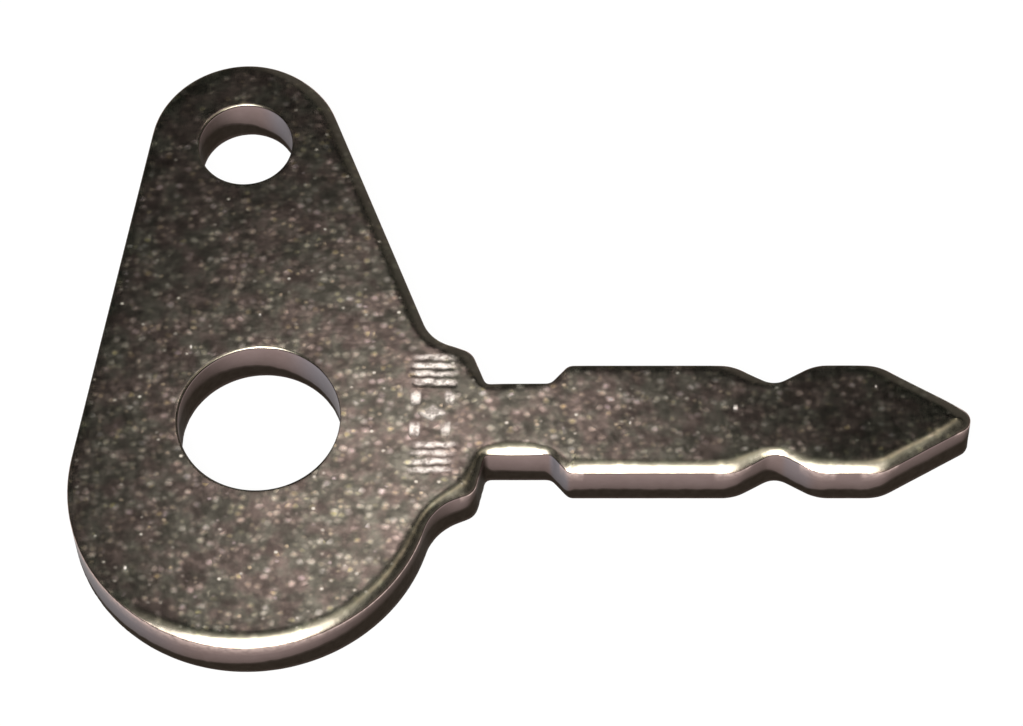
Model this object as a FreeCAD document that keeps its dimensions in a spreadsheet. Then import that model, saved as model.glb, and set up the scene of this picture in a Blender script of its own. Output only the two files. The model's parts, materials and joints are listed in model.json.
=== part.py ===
"""Flat switch key, blanked from one thick sheet of plated steel.

The blade lies along +X: its shoulder is at the sketch origin and its centre line is the X axis.
The bow, the wide end that the fingers hold, is on the -X side. The sheet lies on the XY plane.
"""
import FreeCAD, Part
import os
from math import acos, atan2, cos, degrees, radians, sin, sqrt, tan

import Sketcher

os.makedirs("parts", exist_ok=True)
doc = FreeCAD.newDocument("SwitchKey")
ORIGIN = (-1, 1)
START, END, CENTRE = 1, 2, 3
X_AXIS, Y_AXIS = -1, -2
SAME_PLACE = 0.001

# Driving dimensions, in millimetres and degrees.
DIMENSIONS = {
    "sheet_thickness": 3.0,
    # Blade: neck, step, flat, notch, flat and pointed tip.
    "blade_length": 25.0,
    "blade_width": 6.3,
    "neck_width": 4.16,
    "neck_length": 3.37,
    "step_run": 0.91,
    "step_radius": 0.5,
    "notch_place": 14.94,
    "notch_width": 3.88,
    "notch_slope": 30.0,
    "notch_root_radius": 1.1,
    "flat_corner_radius": 2.4,
    "tip_slope": 30.6,
    "tip_radius": 0.68,
    # Shoulder: one lug on each side of the blade.
    "upper_lug_reach": 4.04,
    "upper_lug_setback": 0.74,
    "upper_lug_rise": 18.3,
    "lower_lug_reach": 4.22,
    "lower_lug_setback": 0.49,
    "lower_lug_rise": 23.3,
    "lug_radius": 0.89,
    "shoulder_root_radius": 0.3,
    # Bow: a large round heel, a small round ring end, and the two straight sides.
    "heel_setback": 12.0,
    "heel_drop": 3.76,
    "heel_radius": 9.37,
    "ring_end_setback": 13.1,
    "ring_end_rise": 16.82,
    "ring_end_radius": 5.08,
    "side_lean": 21.4,
    "upper_bow_fillet": 2.26,
    "lower_bow_fillet": 2.8,
    "finger_hole_setback": 11.69,
    "finger_hole_diameter": 8.4,
    "ring_hole_diameter": 5.0,
    # Edges: rounded on the punch side, slightly dulled on the die side.
    "die_roll": 0.35,
    "dulled_edge": 0.12,
    # Plain coined mark on the bow beside the shoulder: bars above and below dots and a lozenge.
    "coin_depth": 0.1,
    "mark_setback": 2.7,
    "mark_rise": 0.3,
    "bar_rise": 1.85,
    "bar_length": 2.3,
    "bar_width": 0.26,
    "bar_pitch": 0.49,
    "bar_count": 4,
    "dot_rise": 0.95,
    "dot_spread": 0.8,
    "dot_diameter": 0.6,
    "lozenge_half_length": 0.65,
    "lozenge_half_width": 0.42,
}


def add_dimensions():
    """Write each driving dimension to a cell that has its name as alias."""
    sheet = doc.addObject("Spreadsheet::Sheet", "Dimensions")
    for row, (alias, value) in enumerate(DIMENSIONS.items(), start=1):
        sheet.set(f"A{row}", alias)
        sheet.set(f"B{row}", str(value))
        sheet.setAlias(f"B{row}", alias)
    doc.recompute()


def cell(alias):
    return f"Dimensions.{alias}"


def origin_feature(body, role):
    """One of the body's own origin planes or axes."""
    return next(item for item in body.Origin.OriginFeatures if item.Role == role)


# Sketch helpers.

def add_sketch(body, name, level=None):
    """A sketch on the body's XY plane, raised to the height that the expression gives."""
    sketch = body.newObject("Sketcher::SketchObject", name)
    sketch.AttachmentSupport = [(origin_feature(body, "XY_Plane"), "")]
    sketch.MapMode = "FlatFace"
    if level:
        sketch.setExpression("AttachmentOffset.Base.z", level)
    return sketch


def add_line(sketch, start, end):
    line = Part.LineSegment(FreeCAD.Vector(*start, 0), FreeCAD.Vector(*end, 0))
    return sketch.addGeometry(line, False)


def add_circle(sketch, centre, radius):
    circle = Part.Circle(FreeCAD.Vector(*centre, 0), FreeCAD.Vector(0, 0, 1), radius)
    return sketch.addGeometry(circle, False)


def add_arc(sketch, centre, radius, first_angle, last_angle):
    circle = Part.Circle(FreeCAD.Vector(*centre, 0), FreeCAD.Vector(0, 0, 1), radius)
    arc = Part.ArcOfCircle(circle, radians(first_angle), radians(last_angle))
    return sketch.addGeometry(arc, False)


def constrain(sketch, kind, *refs):
    return sketch.addConstraint(Sketcher.Constraint(kind, *refs))


def drive(sketch, kind, refs, value, expression):
    """A dimension that starts at value and follows the expression."""
    index = constrain(sketch, kind, *refs, value)
    sketch.setExpression(f"Constraints[{index}]", expression)


def drive_point(sketch, point, position, x_expression=None, y_expression=None):
    """Drive a point's distances from the sketch origin."""
    if x_expression:
        drive(sketch, "DistanceX", (*ORIGIN, *point), position[0], x_expression)
    if y_expression:
        drive(sketch, "DistanceY", (*ORIGIN, *point), position[1], y_expression)


def drive_angle(sketch, line, degrees, expression):
    """Drive a line's direction, measured from the X axis."""
    drive(sketch, "Angle", (line,), radians(degrees), expression)


def join_loop(sketch, loop, smooth=()):
    """Join each item's end to the next item's start, smoothly after the items in smooth."""
    for here, following in zip(loop, loop[1:] + loop[:1]):
        kind = "Tangent" if here in smooth else "Coincident"
        constrain(sketch, kind, here, END, following, START)


# Plane geometry for the sketches' starting positions, with angles in degrees.

def step_from(point, angle, distance):
    return point[0] + distance * cos(radians(angle)), point[1] + distance * sin(radians(angle))


def meet_line(point_a, angle_a, point_b, angle_b):
    """Where two lines meet, each given by a point and a direction."""
    gap_x, gap_y = point_b[0] - point_a[0], point_b[1] - point_a[1]
    across = gap_x * sin(radians(angle_b)) - gap_y * cos(radians(angle_b))
    return step_from(point_a, angle_a, across / sin(radians(angle_b - angle_a)))


def meet_circle(point, angle, centre, radius):
    """Where a line from the point first meets the circle."""
    gap_x, gap_y = point[0] - centre[0], point[1] - centre[1]
    middle = gap_x * cos(radians(angle)) + gap_y * sin(radians(angle))
    distance = -middle - sqrt(middle ** 2 - gap_x ** 2 - gap_y ** 2 + radius ** 2)
    return step_from(point, angle, distance)


def direction_between(start, end):
    return degrees(atan2(end[1] - start[1], end[0] - start[0]))


# The blank: blade and bow.

def add_blade(body):
    """Pad the blade's +Y half and mirror it. Returns the mirrored feature and its corner points."""
    size = DIMENSIONS
    half_width = size["blade_width"] / 2
    half_notch = size["notch_width"] / 2
    half_neck = size["neck_width"] / 2
    slope = size["tip_slope"]
    tip_centre = (size["blade_length"] - size["tip_radius"], 0)
    notch_run = (half_width - half_notch) / tan(radians(size["notch_slope"]))
    tip_arc_end = step_from(tip_centre, 90 - slope, size["tip_radius"])
    corners = {
        "tip_arc_end": tip_arc_end,
        "front_flat_end": meet_line(tip_arc_end, 180 - slope, (0, half_width), 0),
        "front_flat_start": (size["notch_place"] + notch_run, half_width),
        "notch_root": (size["notch_place"], half_notch),
        "rear_flat_end": (size["notch_place"] - notch_run, half_width),
        "step_top": (size["neck_length"] + size["step_run"], half_width),
        "step_foot": (size["neck_length"], half_neck),
        "shoulder_root": (0, half_neck),
        "shoulder_centre": (0, 0),
        "blade_end": (size["blade_length"], 0),
    }
    sketch = add_sketch(body, "half_blade")
    outline = list(corners.values())
    lines = [add_line(sketch, start, end) for start, end in zip(outline, outline[1:])]
    tip_side, front_flat, notch_front, notch_rear, rear_flat, step, neck, root, centre_line = lines
    tip = add_arc(sketch, tip_centre, size["tip_radius"], 0, 90 - slope)
    join_loop(sketch, lines + [tip], smooth=[tip])
    for level_line in (front_flat, rear_flat, neck, centre_line):
        constrain(sketch, "Horizontal", level_line)
    constrain(sketch, "Vertical", root)
    constrain(sketch, "Coincident", root, END, *ORIGIN)
    constrain(sketch, "PointOnObject", tip, CENTRE, X_AXIS)
    drive(sketch, "Radius", (tip,), size["tip_radius"], cell("tip_radius"))
    drive_angle(sketch, tip_side, 180 - slope, f"180 - {cell('tip_slope')}")
    drive_angle(sketch, notch_front, size["notch_slope"] - 180, f"{cell('notch_slope')} - 180")
    drive_angle(sketch, notch_rear, 180 - size["notch_slope"], f"180 - {cell('notch_slope')}")
    half_width_rule = f"{cell('blade_width')} / 2"
    step_rule = f"{cell('neck_length')} + {cell('step_run')}"
    drive_point(sketch, (centre_line, END), corners["blade_end"], cell("blade_length"))
    drive_point(sketch, (front_flat, START), corners["front_flat_end"], None, half_width_rule)
    drive_point(sketch, (notch_front, END), corners["notch_root"], cell("notch_place"),
                f"{cell('notch_width')} / 2")
    drive_point(sketch, (step, START), corners["step_top"], step_rule, half_width_rule)
    drive_point(sketch, (neck, START), corners["step_foot"], cell("neck_length"),
                f"{cell('neck_width')} / 2")
    pad = pad_sketch(body, sketch, "half_blade_pad")
    blade = body.newObject("PartDesign::Mirrored", "blade")
    blade.Originals = [pad]
    blade.MirrorPlane = (origin_feature(body, "XZ_Plane"), [""])
    body.Tip = blade
    doc.recompute()
    return blade, corners


def add_bow(body):
    """Pad the bow with its two lugs. Returns the pad and its corner points."""
    size = DIMENSIONS
    half_neck = size["neck_width"] / 2
    heel = (-size["heel_setback"], -size["heel_drop"])
    ring_end = (-size["ring_end_setback"], size["ring_end_rise"])
    lean = size["side_lean"]
    upper_lug = (-size["upper_lug_setback"], size["upper_lug_reach"])
    lower_lug = (-size["lower_lug_setback"], -size["lower_lug_reach"])
    upper_edge_angle = 180 - size["upper_lug_rise"]
    lower_edge_angle = 180 + size["lower_lug_rise"]
    between_centres = sqrt((ring_end[0] - heel[0]) ** 2 + (ring_end[1] - heel[1]) ** 2)
    spread = degrees(acos((size["heel_radius"] - size["ring_end_radius"]) / between_centres))
    far_side = direction_between(heel, ring_end) + spread
    near_side_top = step_from(ring_end, lean, size["ring_end_radius"])
    corners = {
        "shoulder_root": (0, half_neck),
        "upper_lug": upper_lug,
        "upper_bow_corner": meet_line(upper_lug, upper_edge_angle, near_side_top, 90 + lean),
        "lower_bow_corner": meet_circle(lower_lug, lower_edge_angle, heel, size["heel_radius"]),
        "lower_lug": lower_lug,
    }
    sketch = add_sketch(body, "bow_outline")
    upper_flank = add_line(sketch, corners["shoulder_root"], upper_lug)
    upper_edge = add_line(sketch, upper_lug, corners["upper_bow_corner"])
    near_side = add_line(sketch, corners["upper_bow_corner"], near_side_top)
    ring_arc = add_arc(sketch, ring_end, size["ring_end_radius"], lean, far_side)
    far_line = add_line(sketch, step_from(ring_end, far_side, size["ring_end_radius"]),
                        step_from(heel, far_side, size["heel_radius"]))
    heel_arc = add_arc(sketch, heel, size["heel_radius"], far_side,
                       direction_between(heel, corners["lower_bow_corner"]))
    lower_edge = add_line(sketch, corners["lower_bow_corner"], lower_lug)
    lower_flank = add_line(sketch, lower_lug, (0, -half_neck))
    neck_root = add_line(sketch, (0, -half_neck), (0, half_neck))
    loop = [upper_flank, upper_edge, near_side, ring_arc, far_line, heel_arc, lower_edge,
            lower_flank, neck_root]
    join_loop(sketch, loop, smooth=[near_side, ring_arc, far_line])
    constrain(sketch, "PointOnObject", neck_root, START, Y_AXIS)
    constrain(sketch, "Vertical", neck_root)
    drive(sketch, "Radius", (ring_arc,), size["ring_end_radius"], cell("ring_end_radius"))
    drive(sketch, "Radius", (heel_arc,), size["heel_radius"], cell("heel_radius"))
    drive_angle(sketch, near_side, 90 + lean, f"90 + {cell('side_lean')}")
    drive_angle(sketch, upper_edge, upper_edge_angle, f"180 - {cell('upper_lug_rise')}")
    drive_angle(sketch, lower_edge, size["lower_lug_rise"], cell("lower_lug_rise"))
    drive_point(sketch, (ring_arc, CENTRE), ring_end, f"-{cell('ring_end_setback')}",
                cell("ring_end_rise"))
    drive_point(sketch, (heel_arc, CENTRE), heel, f"-{cell('heel_setback')}",
                f"-{cell('heel_drop')}")
    drive_point(sketch, (upper_edge, START), upper_lug, f"-{cell('upper_lug_setback')}",
                cell("upper_lug_reach"))
    drive_point(sketch, (lower_edge, END), lower_lug, f"-{cell('lower_lug_setback')}",
                f"-{cell('lower_lug_reach')}")
    drive_point(sketch, (neck_root, END), (0, half_neck), None, f"{cell('neck_width')} / 2")
    drive_point(sketch, (neck_root, START), (0, -half_neck), None, f"-{cell('neck_width')} / 2")
    bow = pad_sketch(body, sketch, "bow")
    doc.recompute()
    return bow, corners


def pad_sketch(body, sketch, name):
    pad = body.newObject("PartDesign::Pad", name)
    pad.Profile = sketch
    pad.setExpression("Length", cell("sheet_thickness"))
    doc.recompute()
    return pad


# Corner radii of the blank, seen from above.

def upright_edges(feature, places):
    """Names of the upright edges that stand at the given places."""
    names = []
    for number, edge in enumerate(feature.Shape.Edges, start=1):
        ends = [vertex.Point for vertex in edge.Vertexes]
        upright = len(ends) == 2 and abs(ends[0].z - ends[1].z) > SAME_PLACE
        if not upright:
            continue
        foot = FreeCAD.Vector(ends[0].x, ends[0].y, 0)
        if any(foot.distanceToPoint(FreeCAD.Vector(*place, 0)) < SAME_PLACE for place in places):
            names.append(f"Edge{number}")
    return names


def round_edges(body, base, name, edges, radius_alias):
    """Fillet the named edges of the base feature with one radius."""
    fillet = body.newObject("PartDesign::Fillet", name)
    fillet.Base = (base, edges)
    fillet.setExpression("Radius", cell(radius_alias))
    doc.recompute()
    return fillet


def both_sides(*places):
    return [(x, side * y) for x, y in places for side in (1, -1)]


def round_corners(body, base, blade, bow):
    """Round the corners of the outline. Returns the last feature."""
    flat_ends = ("front_flat_end", "front_flat_start", "rear_flat_end")
    steps = (
        ("notch_rounding", "notch_root_radius", both_sides(blade["notch_root"])),
        ("flat_rounding", "flat_corner_radius", both_sides(*(blade[key] for key in flat_ends))),
        ("step_rounding", "step_radius", both_sides(blade["step_top"], blade["step_foot"])),
        ("root_rounding", "shoulder_root_radius", both_sides(blade["shoulder_root"])),
        ("lug_rounding", "lug_radius", [bow["upper_lug"], bow["lower_lug"]]),
        ("upper_bow_rounding", "upper_bow_fillet", [bow["upper_bow_corner"]]),
        ("lower_bow_rounding", "lower_bow_fillet", [bow["lower_bow_corner"]]),
    )
    for name, radius_alias, places in steps:
        edges = upright_edges(base, places)
        if len(edges) != len(places):
            raise ValueError(f"{name}: found {len(edges)} edges for {len(places)} corners")
        base = round_edges(body, base, name, edges, radius_alias)
    return base


# Holes, edges and mark.

def pocket_sketch(body, sketch, name, depth=None):
    """Cut the sketch out of the sheet, to the depth that the expression gives or right through."""
    before = body.Shape.Volume
    pocket = body.newObject("PartDesign::Pocket", name)
    pocket.Profile = sketch
    if depth:
        pocket.setExpression("Length", depth)
    else:
        pocket.Type = "ThroughAll"
        pocket.Reversed = True
    doc.recompute()
    if pocket.Shape.Volume >= before:
        raise ValueError(f"{name} removes nothing")
    return pocket


def add_hole(body, name, place, rules, diameter_alias):
    """A round hole right through the sheet, on the X axis unless the rules give its height."""
    sketch = add_sketch(body, f"{name}_circle")
    radius = DIMENSIONS[diameter_alias] / 2
    circle = add_circle(sketch, place, radius)
    drive(sketch, "Radius", (circle,), radius, f"{cell(diameter_alias)} / 2")
    drive_point(sketch, (circle, CENTRE), place, *rules)
    if len(rules) == 1:
        constrain(sketch, "PointOnObject", circle, CENTRE, X_AXIS)
    return pocket_sketch(body, sketch, name)


def add_holes(body):
    size = DIMENSIONS
    finger_place = (-size["finger_hole_setback"], 0)
    finger_rules = (f"-{cell('finger_hole_setback')}",)
    ring_place = (-size["ring_end_setback"], size["ring_end_rise"])
    ring_rules = (f"-{cell('ring_end_setback')}", cell("ring_end_rise"))
    add_hole(body, "finger_hole", finger_place, finger_rules, "finger_hole_diameter")
    return add_hole(body, "ring_hole", ring_place, ring_rules, "ring_hole_diameter")


def face_edges(feature, height):
    """Names of the edges that lie flat at the given height."""
    names = []
    for number, edge in enumerate(feature.Shape.Edges, start=1):
        box = edge.BoundBox
        if max(abs(box.ZMin - height), abs(box.ZMax - height)) < SAME_PLACE:
            names.append(f"Edge{number}")
    return names


def dress_edges(body, base):
    """Roll the punch side's edges over and dull the die side's edges, round the holes as well."""
    top = DIMENSIONS["sheet_thickness"]
    rolled = round_edges(body, base, "punch_side_roll", face_edges(base, top), "die_roll")
    return round_edges(body, rolled, "die_side_edge", face_edges(rolled, 0), "dulled_edge")


def add_box_outline(sketch, low, high, low_rules, high_rules):
    """A rectangle from its low corner to its high corner."""
    corners = [low, (high[0], low[1]), high, (low[0], high[1])]
    sides = [add_line(sketch, corners[i], corners[(i + 1) % 4]) for i in range(4)]
    join_loop(sketch, sides)
    for number, side in enumerate(sides):
        constrain(sketch, "Vertical" if number % 2 else "Horizontal", side)
    drive_point(sketch, (sides[0], START), low, *low_rules)
    drive_point(sketch, (sides[2], START), high, *high_rules)


def add_mark_bars(body):
    """The lowest bar of each group, repeated along +Y."""
    size = DIMENSIONS
    sketch = add_sketch(body, "mark_bar_outlines", cell("sheet_thickness"))
    run = (size["bar_count"] - 1) * size["bar_pitch"]
    run_rule = f"({cell('bar_count')} - 1) * {cell('bar_pitch')}"
    groups = (
        (size["mark_rise"] + size["bar_rise"], f"{cell('mark_rise')} + {cell('bar_rise')}"),
        (size["mark_rise"] - size["bar_rise"] - run,
         f"{cell('mark_rise')} - {cell('bar_rise')} - {run_rule}"),
    )
    half_length, half_width = size["bar_length"] / 2, size["bar_width"] / 2
    length_rule, width_rule = f"{cell('bar_length')} / 2", f"{cell('bar_width')} / 2"
    for rise, rise_rule in groups:
        low = (-size["mark_setback"] - half_length, rise - half_width)
        high = (-size["mark_setback"] + half_length, rise + half_width)
        low_rules = (f"-{cell('mark_setback')} - {length_rule}", f"{rise_rule} - {width_rule}")
        high_rules = (f"-{cell('mark_setback')} + {length_rule}", f"{rise_rule} + {width_rule}")
        add_box_outline(sketch, low, high, low_rules, high_rules)
    first_bars = pocket_sketch(body, sketch, "mark_first_bars", cell("coin_depth"))
    bars = body.newObject("PartDesign::LinearPattern", "mark_bars")
    bars.Originals = [first_bars]
    bars.Direction = (origin_feature(body, "Y_Axis"), [""])
    bars.setExpression("Length", run_rule)
    bars.setExpression("Occurrences", cell("bar_count"))
    body.Tip = bars
    doc.recompute()
    return bars


def add_mark_dots(body):
    """Four dots round a lozenge."""
    size = DIMENSIONS
    sketch = add_sketch(body, "mark_dot_outlines", cell("sheet_thickness"))
    centre = (-size["mark_setback"], size["mark_rise"])
    radius = size["dot_diameter"] / 2
    for across, sign_x in ((-1, "-"), (1, "+")):
        for along, sign_y in ((-1, "-"), (1, "+")):
            place = (centre[0] + across * size["dot_spread"], centre[1] + along * size["dot_rise"])
            dot = add_circle(sketch, place, radius)
            drive(sketch, "Radius", (dot,), radius, f"{cell('dot_diameter')} / 2")
            drive_point(sketch, (dot, CENTRE), place,
                        f"-{cell('mark_setback')} {sign_x} {cell('dot_spread')}",
                        f"{cell('mark_rise')} {sign_y} {cell('dot_rise')}")
    add_lozenge(sketch, centre)
    return pocket_sketch(body, sketch, "mark_dots", cell("coin_depth"))


def add_lozenge(sketch, centre):
    half_length = DIMENSIONS["lozenge_half_length"]
    half_width = DIMENSIONS["lozenge_half_width"]
    setback_rule, rise_rule = f"-{cell('mark_setback')}", cell("mark_rise")
    points = (
        ((centre[0] + half_length, centre[1]),
         f"{setback_rule} + {cell('lozenge_half_length')}", rise_rule),
        ((centre[0], centre[1] + half_width),
         setback_rule, f"{rise_rule} + {cell('lozenge_half_width')}"),
        ((centre[0] - half_length, centre[1]),
         f"{setback_rule} - {cell('lozenge_half_length')}", rise_rule),
        ((centre[0], centre[1] - half_width),
         setback_rule, f"{rise_rule} - {cell('lozenge_half_width')}"),
    )
    sides = [add_line(sketch, points[i][0], points[(i + 1) % 4][0]) for i in range(4)]
    join_loop(sketch, sides)
    for side, (place, x_rule, y_rule) in zip(sides, points):
        drive_point(sketch, (side, START), place, x_rule, y_rule)


# The whole key.

def build_key():
    """The one body of the key, with its lowest middle point at the document's origin."""
    body = doc.addObject("PartDesign::Body", "stamped_key")
    body.Label = "stamped_key"
    _, blade = add_blade(body)
    outline, bow = add_bow(body)
    round_corners(body, outline, blade, bow)
    dress_edges(body, add_holes(body))
    add_mark_bars(body)
    add_mark_dots(body)
    body.setExpression("Placement.Base.x", f"({cell('heel_setback')} + {cell('heel_radius')}"
                       f" - {cell('blade_length')}) / 2")
    body.setExpression("Placement.Base.y", f"({cell('heel_drop')} + {cell('heel_radius')}"
                       f" - {cell('ring_end_rise')} - {cell('ring_end_radius')}) / 2")
    doc.recompute()
    return body


def check_document():
    for item in doc.Objects:
        if {"Invalid", "Error"} & set(item.State):
            raise ValueError(f"{item.Label} did not compute: {item.State}")
        if item.TypeId == "Sketcher::SketchObject" and not item.FullyConstrained:
            raise ValueError(f"{item.Label} is not fully constrained")


def export(body):
    if body.Shape.isNull() or not body.Shape.isValid() or len(body.Shape.Solids) != 1:
        raise ValueError(f"{body.Label} is not one valid solid")
    body.Shape.exportStep(f"parts/{body.Label}.step")


add_dimensions()
key = build_key()
check_document()
export(key)
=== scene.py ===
"""Looks of the flat switch key: rolled and broken edges, coined mark and dull, grainy plating.

The mesh is worked out in millimetres and scaled to metres when it becomes a Blender object.
"""
import json
from math import cos, radians, sin, tan

import bmesh
import bpy
import numpy as np
from mathutils import Matrix, Vector, geometry, kdtree, noise


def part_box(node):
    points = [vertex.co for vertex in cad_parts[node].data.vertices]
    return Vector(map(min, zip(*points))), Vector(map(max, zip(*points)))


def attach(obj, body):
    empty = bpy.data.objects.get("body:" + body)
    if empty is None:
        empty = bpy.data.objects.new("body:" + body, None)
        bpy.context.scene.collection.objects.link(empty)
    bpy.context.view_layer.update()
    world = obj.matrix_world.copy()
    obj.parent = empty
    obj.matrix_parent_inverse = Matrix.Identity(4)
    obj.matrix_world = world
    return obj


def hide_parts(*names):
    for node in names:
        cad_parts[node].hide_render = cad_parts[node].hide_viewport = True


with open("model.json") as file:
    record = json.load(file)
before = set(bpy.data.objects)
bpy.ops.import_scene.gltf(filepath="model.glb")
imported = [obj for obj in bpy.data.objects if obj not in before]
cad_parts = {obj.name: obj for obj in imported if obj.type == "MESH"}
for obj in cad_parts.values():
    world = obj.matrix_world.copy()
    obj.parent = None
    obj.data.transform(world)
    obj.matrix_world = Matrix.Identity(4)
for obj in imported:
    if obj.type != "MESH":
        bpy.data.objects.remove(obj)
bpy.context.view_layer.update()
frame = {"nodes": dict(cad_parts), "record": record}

MM = 0.001
NODE = "stamped_key"
MOUNTS = {mount["name"]: mount for mount in frame["record"]["mounts"]}
SHEET = (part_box(NODE)[1].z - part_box(NODE)[0].z) / MM

# Rolled edge of the front face, in millimetres: its width, its slope where it is deepest, and how
# quickly the slope grows towards the edge. LEAST_ROLL and FAR_ROLL are the shares of the slope
# that the -X and +Y sides keep.
ROLL_WIDTH = 0.88
HOLE_ROLL_WIDTH = 0.17
NARROWEST_ROLL = 0.7
ROLL_SLOPE = radians(36)
ROLL_SWEEP = 1.4
LEAST_ROLL = 0.03
FAR_ROLL = 0.13
# Tight corner under the roll, dulled corner at the back face, and the line where the cut wall
# gives way to the torn band. That band is torn metal with painted shade on it, and BREAK_LEAN
# raises it on the sides facing +X, where the painted shade is deepest.
CORNER_RADIUS = 0.08
CORNER_SLOPES = np.linspace(radians(90), ROLL_SLOPE, 4)
CORNER_WIDTH = CORNER_RADIUS * (1 - sin(ROLL_SLOPE))
DULLED_RADIUS = 0.13
BREAK_HEIGHT = 1.15
BREAK_LEAN = 0.85
BREAK_WAVER = 0.12
BREAK_RIPPLE = 0.06
BREAK_INSET = 0.008
TEAR_DEPTH = 0.018
# How dark each ring of the side is, as torn metal and painted shade together: the dulled corner,
# the torn band, then the cut wall.
TORN_SHADED_CORNER = (0, 0.15, 0.5, 0.85)
TORN_SHADED_BAND = (1, 1, 1, 1, 0.85)
TORN_SHADED_WALL = (0.55, 0.38, 0.25, 0.12, 0)
# Heights of the rings, as shares of the torn band and of the cut wall.
BAND_SHARES = (0.2, 0.4, 0.6, 0.8, 0.95)
WALL_SHARES = (0.03, 0.25, 0.5, 0.75, 0.93)
# Slow waves of the front face.
WAVE_HEIGHT = 0.014
WAVES_PER_MM = 0.16
# Spacing of the points along the edges and on the flat faces.
LOOP_STEP = 0.11
FACE_STEP = 0.165
MARK_STEP = 0.05
BACK_STEP = 0.4
FRONT_RINGS = (0.14, 0.26, 0.38, 0.5, 0.64, 0.8, 1.0, 1.2)
BACK_RINGS = (0.45, 0.9)

# Coined mark, measured from the shoulder that the blade's mount gives: bars, dots and a lozenge,
# struck at a slight angle. The steep side of a stroke is STEEP_RUN long.
MARK_SETBACK = 2.7
MARK_RISE = 0.3
BAR_RISE = 1.85
BAR_LENGTH = 2.3
BAR_PITCH = 0.49
BAR_COUNT = 4
BAR_WIDTH = 0.27
DOT_RISE = 0.95
DOT_SPREAD = 0.8
DOT_SIZE = 0.58
LOZENGE_TIP = 1.0
LOZENGE_CORE = 0.3
STRIKE_SLOPE = tan(radians(1.2))
STEEP_RUN = 0.2
MARK_REACH = (1.75, 4.1)
# Knocks in the front face. One is on the blade, and its place is measured from the shoulder.
KNOCK_COUNT = 7
KNOCK_CLEARANCE = 0.8
BLADE_KNOCK = (12.9, 0.72)
BLADE_KNOCK_SIZE = 0.26
# The painted glints are brightest round this place, as if lit there, and faint far from it, in millimetres.
GLINT_MIDDLE = (-8.0, -6.0)
GLINT_NEAR = 8.0
GLINT_FAR = 26.0
# The floor is a wide sheet, just under the key so that the two faces don't coincide.
FLOOR_GAP = 0.01
FLOOR_HALF = 3000


# Outline of the sheet ------------------------------------------------------------------------

def cut_loops(node, height):
    """Closed outlines of the node where a level plane cuts it, as lists of (x, y)."""
    bm = bmesh.new()
    bm.from_mesh(node.data)
    bmesh.ops.remove_doubles(bm, verts=bm.verts, dist=1e-7)
    parts = bm.verts[:] + bm.edges[:] + bm.faces[:]
    cut = bmesh.ops.bisect_plane(bm, geom=parts, plane_co=(0, 0, height * MM), plane_no=(0, 0, 1))
    edges = [item for item in cut["geom_cut"] if isinstance(item, bmesh.types.BMEdge)]
    links = {}
    for edge in edges:
        a, b = edge.verts
        links.setdefault(a, []).append(b)
        links.setdefault(b, []).append(a)
    loops = []
    while links:
        start = next(iter(links))
        loop, here = [start], links.pop(start)[0]
        while here is not start:
            following = [vertex for vertex in links.pop(here) if vertex is not loop[-1]][0]
            loop.append(here)
            here = following
        loops.append(np.array([(v.co.x, v.co.y) for v in loop]) / MM)
    bm.free()
    return sorted(loops, key=lambda loop: -np.ptp(loop[:, 0]))


def drop_straight_points(loop, least_turn=0.004):
    """Keep only the points where the outline turns."""
    before = loop - np.roll(loop, 1, 0)
    after = np.roll(loop, -1, 0) - loop
    turn = before[:, 0] * after[:, 1] - before[:, 1] * after[:, 0]
    size = np.linalg.norm(before, axis=1) * np.linalg.norm(after, axis=1)
    return loop[np.abs(turn) > least_turn * size]


def smooth_loop(loop, step):
    """Even points on a smooth curve through the loop; long straight runs stay straight."""
    chord = np.roll(loop, -1, 0) - loop
    length = np.linalg.norm(chord, axis=1)
    unit = chord / length[:, None]
    weight = length[:, None] ** 4
    tangent = unit * weight + np.roll(unit * weight, 1, 0)
    tangent /= np.linalg.norm(tangent, axis=1)[:, None]
    points = []
    for i, start in enumerate(loop):
        j = (i + 1) % len(loop)
        count = max(2, int(round(length[i] / (step / 4))))
        t = np.arange(count)[:, None] / count
        pull = length[i]
        points.append((2 * t ** 3 - 3 * t ** 2 + 1) * start + (t ** 3 - 2 * t ** 2 + t) * pull * tangent[i]
                      + (3 * t ** 2 - 2 * t ** 3) * loop[j] + (t ** 3 - t ** 2) * pull * tangent[j])
    fine = np.vstack(points)
    gap = np.linalg.norm(np.roll(fine, -1, 0) - fine, axis=1)
    place = np.concatenate([[0], np.cumsum(gap)])
    count = int(place[-1] / step)
    even = np.arange(count) * place[-1] / count
    closed = np.vstack([fine, fine[:1]])
    return np.column_stack([np.interp(even, place, closed[:, axis]) for axis in (0, 1)])


def blur(values, reach):
    """Running mean round a closed loop, over reach points each side."""
    kernel = np.hanning(2 * reach + 3)[1:-1]
    kernel /= kernel.sum()
    padded = np.concatenate([values[-reach:], values, values[:reach]])
    return np.convolve(padded, kernel, "valid")


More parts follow.
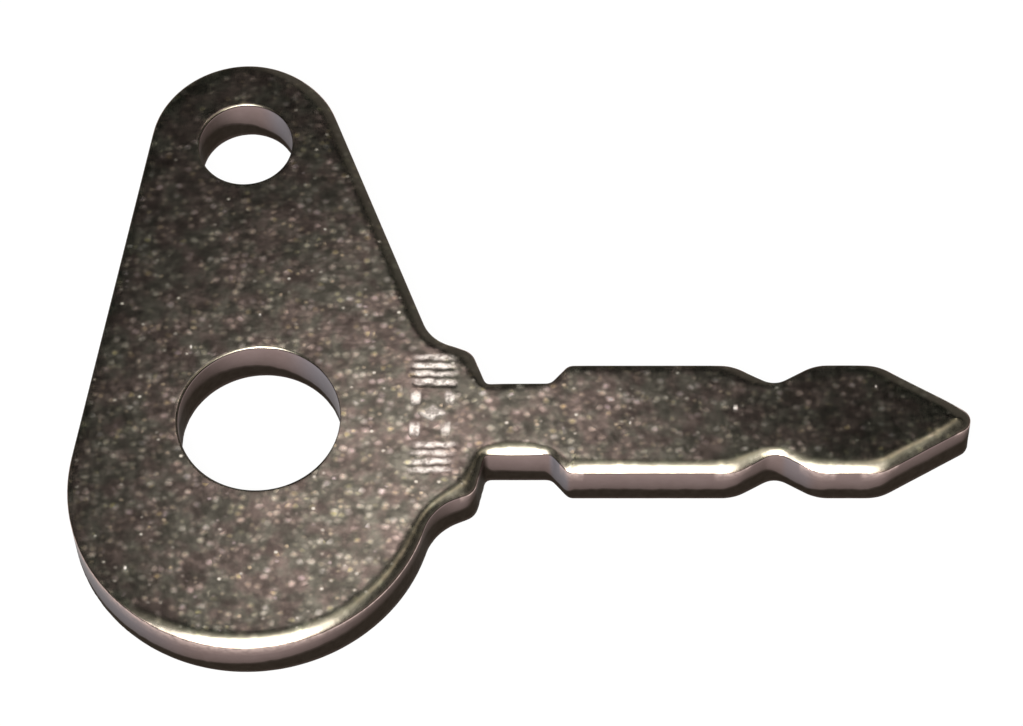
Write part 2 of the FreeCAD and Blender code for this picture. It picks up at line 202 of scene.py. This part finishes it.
class Edge:
    """One closed edge of the sheet: its points, outward normals and the shape of its sides."""

    def __init__(self, loop, is_hole, seed):
        area = np.sum(loop[:, 0] * np.roll(loop[:, 1], -1) - loop[:, 1] * np.roll(loop[:, 0], -1))
        if (area > 0) == is_hole:
            loop = loop[::-1]
        points = smooth_loop(drop_straight_points(loop), LOOP_STEP)
        for axis in (0, 1):
            points[:, axis] = blur(points[:, axis], 1)
        along = np.roll(points, -1, 0) - np.roll(points, 1, 0)
        along /= np.linalg.norm(along, axis=1)[:, None]
        self.points = points
        self.normals = np.column_stack([along[:, 1], -along[:, 0]])
        heading = np.arctan2(along[:, 1], along[:, 0])
        turn = (np.roll(heading, -1) - np.roll(heading, 1) + np.pi) % (2 * np.pi) - np.pi
        self.bend = blur(turn / (2 * LOOP_STEP), 6)
        self.waver = np.array([noise.noise(Vector((x * 0.35, y * 0.35, seed))) for x, y in points])
        self.ripple = np.array([noise.noise(Vector((x * 2.2, y * 2.2, seed + 9))) for x, y in points])
        self.shape_roll(is_hole)

    def shape_roll(self, is_hole):
        """Width of the roll, tangent of its steepest slope, and height of the corner under it."""
        rough = 0.5 if is_hole else 0.1
        swell = np.clip(1 + 0.45 * self.bend, 0.62, 1.35) * (1 + 0.14 * self.waver + rough * self.ripple)
        toward, away = self.lopsided()
        fullness = NARROWEST_ROLL + (1 - NARROWEST_ROLL) * toward
        share = LEAST_ROLL + (FAR_ROLL - LEAST_ROLL) * away + (1 - FAR_ROLL) * toward
        width = (HOLE_ROLL_WIDTH if is_hole else ROLL_WIDTH) * swell * fullness
        self.roll_width = blur(width, 8)
        self.roll_rise = blur(tan(ROLL_SLOPE) * share, 8)
        self.corner_top = SHEET - self.roll_width * self.roll_rise / (ROLL_SWEEP + 1)

    def lopsided(self):
        """How far each point is on the deeply rolled -Y and +X sides, and on the +Y side, 0 to 1.

        The punch sat off centre, so the roll is deepest on the sides that it was nearer to.
        """
        x, y = [blur(normal, 14) for normal in self.normals.T]
        near = smooth_step(0.48 * x - 0.88 * y, 0.2, 0.85)
        return np.maximum(near, 0.75 * smooth_step(x, -0.1, 0.8)), smooth_step(y, -0.2, 0.8)

    def offset(self, distance):
        """Points moved into the metal."""
        return self.points - self.normals * np.reshape(distance, (-1, 1))

    def corner(self, slopes):
        """The tight corner between the side and the roll, as (offset, height) rings."""
        level = self.corner_top - CORNER_RADIUS * cos(ROLL_SLOPE)
        return [(CORNER_RADIUS * (1 - sin(slope)), level + CORNER_RADIUS * cos(slope)) for slope in slopes]

    def side_rings(self):
        """Rings of (x, y, z) points from the back face up to the start of the front face."""
        # The dark band reaches higher on the sides facing +X: painted shade on top of the torn metal.
        lean = BREAK_LEAN * (self.normals[:, 0] + 0.4 * self.normals[:, 0] ** 2)
        break_line = BREAK_HEIGHT + lean + BREAK_WAVER * self.waver + BREAK_RIPPLE * self.ripple
        roll_foot = self.corner_top - CORNER_RADIUS * cos(ROLL_SLOPE)
        torn_and_shaded = BREAK_INSET * (1 + 0.5 * self.ripple)
        rings = []
        for angle in np.linspace(0, radians(90), len(TORN_SHADED_CORNER)):
            rings.append((DULLED_RADIUS * (1 - sin(angle)) + torn_and_shaded, DULLED_RADIUS * (1 - cos(angle))))
        for share in BAND_SHARES:
            rings.append((torn_and_shaded, DULLED_RADIUS + share * (break_line - DULLED_RADIUS)))
        for share in WALL_SHARES:
            rings.append((0, break_line + share * (roll_foot - break_line)))
        rings += self.corner(CORNER_SLOPES)
        first_wall = len(TORN_SHADED_CORNER + TORN_SHADED_BAND)
        solid = []
        for level, (offset, height) in enumerate(rings):
            if len(TORN_SHADED_CORNER) - 1 <= level < first_wall:
                offset = offset + self.tear(level)
            solid.append(np.column_stack([self.offset(offset), np.broadcast_to(height, len(torn_and_shaded))]))
        return solid

    def side_weights(self, ring_count):
        """Weights of the side rings: how upright the surface is, how dark it is with torn metal and painted
        shade, its pale streak, and painted light on the sides facing -X.
        """
        size = len(self.points)
        corner = len(CORNER_SLOPES)
        upright = np.ones(ring_count)
        upright[-corner:] = CORNER_SLOPES / radians(90)
        right = smooth_step(self.normals[:, 0], 0.2, 0.8)
        left = smooth_step(-self.normals[:, 0], 0.2, 0.8)
        torn_and_shaded = np.repeat(TORN_SHADED_CORNER + TORN_SHADED_BAND + TORN_SHADED_WALL + (0,) * corner, size).reshape(-1, size)
        wall = slice(-corner - len(TORN_SHADED_WALL), -corner)
        # Walls facing +X are painted darker: painted shade.
        torn_and_shaded[wall] += (1 - torn_and_shaded[wall]) * 0.6 * right
        # A paler, speckled streak along the top of the wall and the corner, where the edge bends outward.
        pale_streak = np.zeros(ring_count)
        pale_streak[-corner - 2:] = (0.3, 0.7) + (1,) * corner
        pale_streak = np.outer(pale_streak, smooth_step(self.bend, 0.02, 0.09))
        # Sides facing -X get painted light: their walls are coloured lighter and cooler.
        cool_painted_light = np.tile(left, ring_count)
        return {"side": np.repeat(upright, size), "torn_and_shaded": torn_and_shaded.ravel(),
                "pale_streak": pale_streak.ravel(), "cool_painted_light": cool_painted_light}

    def tear(self, level):
        """Small ridges of the broken band, upright like the marks of the tool."""
        ridges = [noise.noise(Vector((x * 5, y * 5, level * 0.4))) for x, y in self.points]
        return TEAR_DEPTH * np.array(ridges)


# Flat faces ----------------------------------------------------------------------------------

class Outline:
    """All edges together: tells how far inside the metal a point lies, and how the roll is there."""

    def __init__(self, edges):
        self.edges = edges
        self.points = np.vstack([edge.points for edge in edges])
        self.normals = np.vstack([edge.normals for edge in edges])
        self.width = np.concatenate([edge.roll_width for edge in edges])
        self.rise = np.concatenate([edge.roll_rise for edge in edges])
        self.tree = kdtree.KDTree(len(self.points))
        for i, (x, y) in enumerate(self.points):
            self.tree.insert((x, y, 0), i)
        self.tree.balance()

    def measure(self, points):
        """Depth inside the metal and nearest edge point of each point.

        Close to the edge the depth is taken square to it, so that it doesn't jump between points.
        """
        nearest = np.array([self.tree.find((x, y, 0))[1] for x, y in points])
        away = points - self.points[nearest]
        depth = -np.sum(away * self.normals[nearest], axis=1)
        far = np.linalg.norm(away, axis=1) * np.sign(depth)
        near_edge = np.abs(far) <= 3 * LOOP_STEP
        return np.where(near_edge, depth, far), nearest

    def roll(self, points):
        """Rolled edge at each point: share of the roll, 0 on the flat face, its slope and its drop."""
        depth, nearest = self.measure(points)
        width, rise = self.width[nearest], self.rise[nearest]
        share = np.clip(1 - (depth - CORNER_WIDTH) / width, 0, 1)
        slope = np.arctan(rise * share ** ROLL_SWEEP)
        return share, slope, width * rise * share ** (ROLL_SWEEP + 1) / (ROLL_SWEEP + 1)


def hex_grid(low, high, step):
    """Points of an even triangular grid over a rectangle."""
    rows = np.arange(low[1], high[1], step * 0.866)
    columns = np.arange(low[0], high[0], step)
    x, y = np.meshgrid(columns, rows)
    x[1::2] += step / 2
    return np.column_stack([x.ravel(), y.ravel()])


def smooth_step(value, low, high):
    """0 below low, 1 above high, and a smooth climb between."""
    t = np.clip((value - low) / (high - low), 0, 1)
    return t * t * (3 - 2 * t)


def fill_face(rings, inner):
    """Triangles between the closed rings and the inner points, numbered in that order.

    Metal lies to the left of each ring. The triangulation covers the holes and hollows as well,
    so only the triangles that can be reached from the metal's side of the rings are kept.
    """
    points = np.vstack(rings + [inner])
    borders, start = [], 0
    for ring in rings:
        last = start + len(ring)
        borders += [(i, i + 1 if i + 1 < last else start) for i in range(start, last)]
        start = last
    flat = [Vector(point) for point in points.tolist()]
    filled = geometry.delaunay_2d_cdt(flat, borders, [], 0, 1e-7, True)
    source = [ids[0] for ids in filled[3]]
    triangles = [[source[i] for i in face] for face in filled[2]]
    owner = {}
    for number, (a, b, c) in enumerate(triangles):
        owner.update({(a, b): number, (b, c): number, (c, a): number})
    walls = set(borders)
    kept, queue = set(), [owner[border] for border in borders]
    while queue:
        number = queue.pop()
        if number in kept:
            continue
        kept.add(number)
        a, b, c = triangles[number]
        for side in ((a, b), (b, c), (c, a)):
            if side not in walls and side[::-1] in owner:
                queue.append(owner[side[::-1]])
    return [triangles[number] for number in sorted(kept)]


def inner_points(outline, step, shares, patches=()):
    """Points for a flat face: rings along the edges, a coarse grid, and fine grids in patches."""
    low, high = outline.points.min(0), outline.points.max(0)
    rings = []
    for share in shares:
        for edge in outline.edges:
            ring = edge.offset(share * edge.roll_width)
            depth, _ = outline.measure(ring)
            # A ring has no points where another stretch of edge is nearer.
            rings.append(ring[depth > 0.93 * share * edge.roll_width])
    grid = hex_grid(low, high, step)
    for centre, reach in patches:
        outside = np.any(np.abs(grid - centre) > reach, axis=1)
        fine = hex_grid(centre - reach, centre + reach, MARK_STEP)
        grid = np.vstack([grid[outside], fine])
    depth, nearest = outline.measure(grid)
    clear = depth > max(shares) * outline.width[nearest] + 0.4 * step
    return np.vstack(rings + [grid[clear]])


# Coined mark and knocks ----------------------------------------------------------------------

def shoulder():
    """The middle of the blade's shoulder, in millimetres, from the blade's mount."""
    return np.array(MOUNTS["blade"]["pos_m"][:2]) / MM


def mark_centre():
    return shoulder() + (-MARK_SETBACK, MARK_RISE)


def strike(u, v, length, run):
    """Depth of an oblique strike at each point, 0 to 1: a long slope, and a short one at the near end."""
    far = 0.5 - v / run
    near = 1 + (v + run / 2) / STEEP_RUN
    ends = 1 - smooth_step(np.abs(u), length / 2 - 0.08, length / 2 + 0.04)
    return np.clip(np.minimum(far, near), 0, 1) * ends


def mark_shape(points, random):
    """Depth of the struck bars, dots and lozenge, and the painted highlight laid on them."""
    u, v = (points - mark_centre()).T
    v = v + 0.08 * np.array([noise.noise(Vector((x * 2.2, y * 2.2, 5.0))) for x, y in points])
    strokes = []
    for side in (1, -1):
        for i in range(BAR_COUNT):
            strokes.append((0, side * (BAR_RISE + i * BAR_PITCH), BAR_LENGTH, BAR_WIDTH))
        for across in (-1, 1):
            strokes.append((across * DOT_SPREAD, side * DOT_RISE, DOT_SIZE, DOT_SIZE))
    depth, painted_stroke_highlight = np.zeros((2, len(points)))
    for right, rise, length, run in strokes:
        slip, tilt, force = random.uniform((-0.15, -0.05, 0.8), (0.15, 0.05, 1.35))
        along, across = u - right - slip, v - rise - tilt * u
        depth = np.maximum(depth, force * min(run, BAR_WIDTH) * strike(along, across, length, run))
        painted_stroke_highlight = np.maximum(painted_stroke_highlight, force * (1 - smooth_step(np.abs(across), 0, run))
                          * (1 - smooth_step(np.abs(along), 0.25 * length, 0.6 * length)))
    lozenge = 1 - smooth_step(np.abs(u) + 1.6 * np.abs(v), LOZENGE_CORE, LOZENGE_TIP)
    return STRIKE_SLOPE * np.maximum(depth, BAR_WIDTH * lozenge), np.clip(np.maximum(painted_stroke_highlight, lozenge), 0, 1)


def knocks(outline, random):
    """Small knocks in the front face, as (centre, size). The first is on the blade."""
    low, high = outline.points.min(0), outline.points.max(0)
    found = [(shoulder() + BLADE_KNOCK, BLADE_KNOCK_SIZE)]
    while len(found) < KNOCK_COUNT:
        centre = random.uniform(low, high)
        size = random.uniform(0.1, 0.2)
        if outline.measure(centre[None])[0][0] > KNOCK_CLEARANCE:
            found.append((centre, size))
    return found


# The key's mesh ------------------------------------------------------------------------------

def front_face(points, outline, pits, random):
    """Height of the front face, the painted highlight on its struck marks, and its slope at the rolled edge.
    """
    share, slope, drop = outline.roll(points)
    waves = [noise.noise(Vector((x * WAVES_PER_MM, y * WAVES_PER_MM, 3.0))) for x, y in points]
    inside = 1 - smooth_step(share, 0, 1)
    height = SHEET - drop + WAVE_HEIGHT * np.array(waves) * inside
    depth, painted_stroke_highlight = mark_shape(points, random)
    for centre, size in pits:
        along, across = (points - centre).T
        pit = strike(along, across, size, size)
        depth, painted_stroke_highlight = depth + STRIKE_SLOPE * size * pit, np.maximum(painted_stroke_highlight, pit)
    return height - depth * inside, painted_stroke_highlight * inside, slope


def build_key():
    """The whole key as one closed mesh, with the weights that its material reads at each point."""
    random = np.random.default_rng(11)
    loops = cut_loops(frame["nodes"][NODE], SHEET / 2)
    edges = [Edge(loop, number > 0, number * 7.0) for number, loop in enumerate(loops)]
    outline = Outline(edges)
    points, faces = [], []
    weights = {"side": [], "torn_and_shaded": [], "pale_streak": [], "cool_painted_light": [], "struck": []}
    front_rings, back_rings = [], []

    def add_points(block, **values):
        first = sum(len(known) for known in points)
        points.append(block)
        for name, parts in weights.items():
            parts.append(values.get(name, np.zeros(len(block))))
        return first

    for edge in edges:
        rings = edge.side_rings()
        size = len(edge.points)
        first = add_points(np.vstack(rings), **edge.side_weights(len(rings)))
        for level in range(len(rings) - 1):
            for i in range(size):
                j = (i + 1) % size
                low, high = first + level * size, first + (level + 1) * size
                faces.append((low + i, low + j, high + j, high + i))
        back_rings.append((rings[0][:, :2], first))
        front_rings.append((rings[-1][:, :2], first + (len(rings) - 1) * size))

    pits = knocks(outline, random)
    patches = [(mark_centre(), np.array(MARK_REACH))]
    patches += [(centre, np.array((size, size))) for centre, size in pits]
    front = inner_points(outline, FACE_STEP, FRONT_RINGS, patches)
    back = inner_points(outline, BACK_STEP, BACK_RINGS)
    for rings, inner, top in ((front_rings, front, True), (back_rings, back, False)):
        triangles = fill_face([ring for ring, _ in rings], inner)
        index = np.concatenate([first + np.arange(len(ring)) for ring, first in rings])
        height, struck, side = np.zeros((3, len(inner)))
        if top:
            height, struck, slope = front_face(inner, outline, pits, random)
            side = slope / radians(90)
        start = add_points(np.column_stack([inner, height]), side=side, struck=struck)
        index = np.concatenate([index, start + np.arange(len(inner))])
        for a, b, c in triangles:
            faces.append((index[a], index[b], index[c]) if top else (index[c], index[b], index[a]))
    weights = {name: np.concatenate(parts) for name, parts in weights.items()}
    return np.vstack(points), faces, weights


def link_object(name, data):
    piece = bpy.data.objects.new(name, data)
    bpy.context.scene.collection.objects.link(piece)
    return piece


def make_mesh(name, points, faces, weights):
    """A smooth mesh in metres, without points that no face uses."""
    mesh = bpy.data.meshes.new(name)
    mesh.from_pydata((points * MM).tolist(), [], [tuple(int(i) for i in face) for face in faces])
    for weight_name, values in weights.items():
        layer = mesh.attributes.new(weight_name, "FLOAT", "POINT")
        layer.data.foreach_set("value", np.asarray(values, np.float32))
    bm = bmesh.new()
    bm.from_mesh(mesh)
    bmesh.ops.delete(bm, geom=[vert for vert in bm.verts if not vert.link_faces], context="VERTS")
    bm.to_mesh(mesh)
    bm.free()
    mesh.polygons.foreach_set("use_smooth", [True] * len(mesh.polygons))
    return mesh


# Materials -----------------------------------------------------------------------------------

class Shader:
    """Nodes of a material or world, added one at a time. A value may be a number, colour or socket."""

    def __init__(self, tree):
        self.tree = tree

    def add(self, kind, values=(), **settings):
        node = self.tree.nodes.new(kind)
        for name, value in settings.items():
            setattr(node, name, value)
        self.fill(node, dict(values))
        return node

    def fill(self, node, values):
        for name, value in values.items():
            socket = node.inputs[name]
            if isinstance(value, bpy.types.NodeSocket):
                self.tree.links.new(value, socket)
            else:
                socket.default_value = value

    def weight(self, name):
        return self.add("ShaderNodeAttribute", attribute_name=name).outputs["Fac"]

    def math(self, operation, a, b=0.0, clamp=False):
        node = self.add("ShaderNodeMath", {0: a, 1: b}, operation=operation, use_clamp=clamp)
        return node.outputs[0]

    def spread(self, value, from_low, from_high, to_low=0.0, to_high=1.0):
        """The value carried smoothly from one range to another."""
        node = self.add("ShaderNodeMapRange", {
            "Value": value, "From Min": from_low, "From Max": from_high,
            "To Min": to_low, "To Max": to_high,
        }, interpolation_type="SMOOTHSTEP")
        return node.outputs["Result"]

    def mix(self, factor, a, b, blend="MIX"):
        node = self.add("ShaderNodeMix", {0: factor, 6: a, 7: b}, data_type="RGBA", blend_type=blend)
        return node.outputs[2]

    def grey(self, value):
        node = self.add("ShaderNodeCombineColor", {"Red": value, "Green": value, "Blue": value})
        return node.outputs["Color"]

    def noise(self, place, scale, detail=3.0, roughness=0.55):
        node = self.add("ShaderNodeTexNoise", {
            "Vector": place, "Scale": scale, "Detail": detail, "Roughness": roughness,
        })
        return node.outputs["Fac"]

    def noise_vector(self, place, scale):
        """Noise in each direction, centred on zero."""
        node = self.add("ShaderNodeTexNoise", {"Vector": place, "Scale": scale, "Detail": 1.0})
        return self.vector("SUBTRACT", node.outputs["Color"], (0.5, 0.5, 0.5))

    def vector(self, operation, a, b):
        """A sum, difference or product of two vectors, or a vector scaled by a number."""
        second = "Scale" if operation == "SCALE" else 1
        return self.add("ShaderNodeVectorMath", {0: a, second: b}, operation=operation).outputs[0]

    def cells(self, place, scale):
        """Distance to the nearest cell centre, and the cell's own random colour."""
        node = self.add("ShaderNodeTexVoronoi", {"Vector": place, "Scale": scale})
        return node.outputs["Distance"], node.outputs["Color"]

    def part(self, colour, channel):
        return self.add("ShaderNodeSeparateColor", {"Color": colour}).outputs[channel]

    def glints(self, place, scale, size, share):
        """Small bright dots in a share of the cells, with a brightness and tint of their own."""
        distance, colour = self.cells(place, scale)
        chosen = self.spread(self.part(colour, "Red"), 1 - share, 1 - 0.4 * share)
        dot = self.math("MULTIPLY", self.spread(distance, size, 0.1 * size), chosen)
        bright = self.spread(self.part(colour, "Green"), 0.0, 1.0, 0.25, 1.0)
        return self.math("MULTIPLY", dot, bright, clamp=True), self.part(colour, "Blue")


def rgb(red, green, blue):
    return (red, green, blue, 1.0)


def new_material(name):
    material = bpy.data.materials.new(name)
    material.use_nodes = True
    return material, Shader(material.node_tree), material.node_tree.nodes["Principled BSDF"]


def plated_steel():
    """Dull, grainy plating: mottled face with painted glints, bright rolled edge, and a dark band of torn
    metal and painted shade.
    """
    material, shader, surface = new_material("plated_steel")
    object_place = shader.add("ShaderNodeTexCoord").outputs["Object"]
    place = shader.vector("SCALE", object_place, 1 / MM)
    side, torn_and_shaded = shader.weight("side"), shader.weight("torn_and_shaded")

    # Dark, mottled face with a close grain of paler pebbles.
    stretched = shader.vector("MULTIPLY", place, (0.82, 0.94, 1.0))
    ragged = shader.vector("ADD", stretched, shader.vector("SCALE", shader.noise_vector(place, 2.5), 0.08))
    tint = shader.spread(shader.noise(place, 0.8, 3.0), 0.36, 0.64)
    face = shader.mix(tint, rgb(0.35, 0.362, 0.31), rgb(0.41, 0.355, 0.325))
    patches = shader.spread(shader.noise(stretched, 0.9, 2.0), 0.3, 0.7, 0.8, 1.2)
    mottle = shader.spread(shader.noise(stretched, 1.8, 1.0, 0.4), 0.3, 0.7, 0.8, 1.2)
    pebble, pebble_tint = shader.glints(ragged, 2.6, 0.66, 1.0)
    pebble_colour = shader.mix(pebble_tint, rgb(1.0, 0.97, 0.55), rgb(0.86, 0.86, 1.0))
    face = shader.mix(pebble, face, shader.mix(1.0, face, pebble_colour, "MULTIPLY"))
    pebble = shader.math("ADD", 0.7, shader.math("MULTIPLY", pebble, 1.75))
    shade = shader.math("MULTIPLY", shader.math("MULTIPLY", patches, mottle), pebble)
    face = shader.mix(1.0, face, shader.grey(shade), "MULTIPLY")

    # Painted glints, warm and cool, and a few dull white painted sparkles: bright dots in the face's
    # colour that stand in for highlights.
    coarse, coarse_tint = shader.glints(ragged, 2.7, 0.42, 0.26)
    fine, fine_tint = shader.glints(ragged, 3.9, 0.5, 0.6)
    fine = shader.math("MULTIPLY", fine, 0.12)
    painted_sparkle, _ = shader.glints(stretched, 2.1, 0.3, 0.4)
    from_middle = shader.vector("SUBTRACT", place, GLINT_MIDDLE + (SHEET,))
    from_middle = shader.add("ShaderNodeVectorMath", {0: from_middle}, operation="LENGTH").outputs["Value"]
    # The painted glints and sparkles fade away from that place, as the light on them would.
    near_middle = shader.spread(from_middle, GLINT_FAR, GLINT_NEAR, 0.25, 1.0)
    painted_glint = shader.math("MULTIPLY", shader.math("MAXIMUM", coarse, fine), near_middle)
    warm = shader.mix(coarse_tint, rgb(0.95, 0.86, 0.62), rgb(0.92, 0.84, 0.88))
    cool_painted_light = shader.mix(fine_tint, rgb(0.80, 0.88, 0.82), rgb(0.95, 0.82, 0.74))
    painted_glint_colour = shader.mix(shader.math("GREATER_THAN", fine, coarse), warm, cool_painted_light)
    flat = shader.spread(side, 0.25, 0.08)
    painted_glint = shader.math("MULTIPLY", painted_glint, flat)
    face = shader.mix(painted_glint, face, painted_glint_colour)
    painted_sparkle = shader.math("MULTIPLY", shader.math("MULTIPLY", painted_sparkle, near_middle), flat)
    face = shader.mix(painted_sparkle, face, rgb(0.95, 0.90, 0.82))

    # Painted highlights on the struck mark and knocks: whitish, dull patches that stand in for the
    # light the strokes catch.
    broken = shader.spread(shader.noise(place, 3.2, 1.0), 0.3, 0.6, 0.4, 1.0)
    stroke = shader.math("MULTIPLY", shader.weight("struck"), broken)
    face = shader.mix(stroke, face, rgb(1.0, 0.92, 0.91))
    # The painted sparkles and stroke highlights are partly dull white, not metal, so they stay bright under
    # the lamps.
    dull_white = shader.math("ADD", shader.math("MULTIPLY", painted_sparkle, 0.55),
                             shader.math("MULTIPLY", stroke, 0.95))

    # Sides, from the rolled edge down: roll, tight corner painted dark as shade, cut wall with painted
    # light on the sides facing -X, a paler streak at outward bends, and a band of torn metal and painted
    # shade.
    rolled = rgb(0.62, 0.54, 0.47)
    wall = shader.mix(shader.noise(place, 1.5), rgb(0.25, 0.18, 0.17), rgb(0.32, 0.24, 0.23))
    # Painted light: walls facing -X are coloured lighter and cooler, as if lit from that side.
    wall = shader.mix(shader.weight("cool_painted_light"), wall, rgb(0.29, 0.27, 0.30))
    # The tight corner is painted dark: painted shade in the crease between roll and wall.
    corner = rgb(0.12, 0.08, 0.07)
    dark = shader.mix(shader.noise(place, 2.5), rgb(0.020, 0.015, 0.012), rgb(0.045, 0.036, 0.030))
    colour = shader.mix(shader.spread(side, 0.02, 0.12, 0.0, 0.6), face, rolled)
    colour = shader.mix(shader.spread(side, 0.38, 0.44), colour, corner)
    colour = shader.mix(shader.spread(side, 0.5, 0.85), colour, wall)
    speckled = shader.spread(shader.noise(place, 3.5, 2.0), 0.3, 0.65, 0.35, 1.0)
    streak = shader.math("MULTIPLY", shader.weight("pale_streak"), speckled)
    colour = shader.mix(streak, colour, rgb(0.72, 0.55, 0.50))
    # The dark band at the foot of the sides: torn metal, with painted shade that is deepest on the sides
    # facing +X.
    colour = shader.mix(torn_and_shaded, colour, dark)

    roughness = shader.spread(shader.noise(place, 4.5), 0.3, 0.7, 0.2, 0.24)
    roughness = shader.math("ADD", roughness, shader.spread(side, 0.5, 0.9, 0.0, 0.12))
    roughness = shader.math("ADD", roughness, shader.math("MULTIPLY", torn_and_shaded, 0.2))
    metal = shader.math("SUBTRACT", 1.0, dull_white, clamp=True)

    grain = shader.add("ShaderNodeBump", {
        "Height": shader.noise(ragged, 2.4, 1.0, 0.4), "Strength": 1.0, "Distance": 0.006 * MM,
    }).outputs["Normal"]
    shader.fill(surface, {
        "Base Color": colour, "Roughness": roughness, "Metallic": metal, "Normal": grain,
        "Specular Tint": rgb(0.5, 0.48, 0.46),
    })
    return material


def pale_paper():
    material, shader, surface = new_material("pale_paper")
    place = shader.add("ShaderNodeTexCoord").outputs["Object"]
    fibre = shader.noise(place, 900.0, 3.0)
    shader.fill(surface, {
        "Base Color": shader.mix(fibre, rgb(0.055, 0.055, 0.055), rgb(0.06, 0.06, 0.06)),
        "Roughness": 0.85,
        "Specular IOR Level": 0.0,
        "Emission Color": rgb(1.0, 1.0, 1.0),
        "Emission Strength": 0.97,
    })
    return material


# Stage: floor, lights, surroundings and camera ------------------------------------------------

def add_floor():
    corners = [(x * FLOOR_HALF, y * FLOOR_HALF, -FLOOR_GAP) for x, y in ((-1, -1), (1, -1), (1, 1), (-1, 1))]
    mesh = bpy.data.meshes.new("floor")
    mesh.from_pydata([Vector(corner) * MM for corner in corners], [], [(0, 1, 2, 3)])
    floor = link_object("floor", mesh)
    floor.data.materials.append(pale_paper())


def aim(thing, target, turn=0.0):
    """Point a camera or light at the target, in millimetres, turned about its line of sight."""
    towards = Vector(target) * MM - thing.location
    facing = towards.to_track_quat("-Z", "Y").to_matrix().to_4x4()
    spin = Matrix.Rotation(radians(turn), 4, "Z")
    thing.matrix_world = Matrix.Translation(thing.location) @ facing @ spin


def add_light(name, place, target, size, power, colour):
    """A round area light; place, target and size are in millimetres and power in watts."""
    data = bpy.data.lights.new(name, "AREA")
    data.shape = "DISK"
    data.size = size * MM
    data.energy = power
    data.color = colour
    light = link_object(name, data)
    light.location = Vector(place) * MM
    aim(light, target)


def add_lights():
    add_light("front_light", (-34, -122, 197), (0, 0, 0), 34, 0.26, (1.0, 0.98, 0.93))
    add_light("soft_light", (-26, -160, 288), (0, 0, 0), 290, 0.68, (1.0, 0.98, 0.91))
    add_light("sheen_light", (-14.5, 90, 199), (-3, -8, 3), 44, 0.0074, (1.0, 0.85, 0.8))
    add_light("side_light", (80, 28, 250), (0, 0, 0), 60, 0.005, (1.0, 0.86, 0.62))


def add_surroundings():
    """A dim room, with a pale ceiling over the front of the table."""
    world = bpy.data.worlds.new("studio")
    bpy.context.scene.world = world
    world.use_nodes = True
    room = Shader(world.node_tree)
    direction = room.add("ShaderNodeTexCoord").outputs["Generated"]
    parts = room.add("ShaderNodeSeparateXYZ", {0: direction}).outputs
    forward = room.spread(parts["Y"], 0.4, -0.3)
    middle = room.spread(room.math("ABSOLUTE", room.math("SUBTRACT", parts["X"], 0.06)), 0.42, 0.15)
    pale = room.math("MULTIPLY", room.math("MULTIPLY", forward, middle), 1.1)
    overhead = room.spread(parts["Z"], 0.6, 0.86)
    dim = room.spread(overhead, 0.0, 1.0, 0.1, 0.006)
    room.fill(world.node_tree.nodes["Background"], {
        "Color": room.mix(overhead, rgb(1.0, 0.96, 0.84), rgb(0.95, 1.0, 0.8)),
        "Strength": room.math("ADD", pale, dim),
    })


def add_camera():
    data = bpy.data.cameras.new("camera")
    data.sensor_width = 36.0
    data.lens = 151.8
    data.clip_start = 0.01
    camera = link_object("camera", data)
    camera.location = Vector((5.62, -112.955, 197.04)) * MM
    aim(camera, (-0.54, -0.255, 1.52), -2.77)
    bpy.context.scene.camera = camera


# Build ---------------------------------------------------------------------------------------

def add_key():
    points, faces, weights = build_key()
    key = link_object("plated_key", make_mesh("plated_key", points, faces, weights))
    key.data.materials.append(plated_steel())
    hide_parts(NODE)
    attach(key, "root")


add_key()
add_floor()
add_lights()
add_surroundings()
add_camera()
bpy.context.scene.view_settings.view_transform = "Standard"
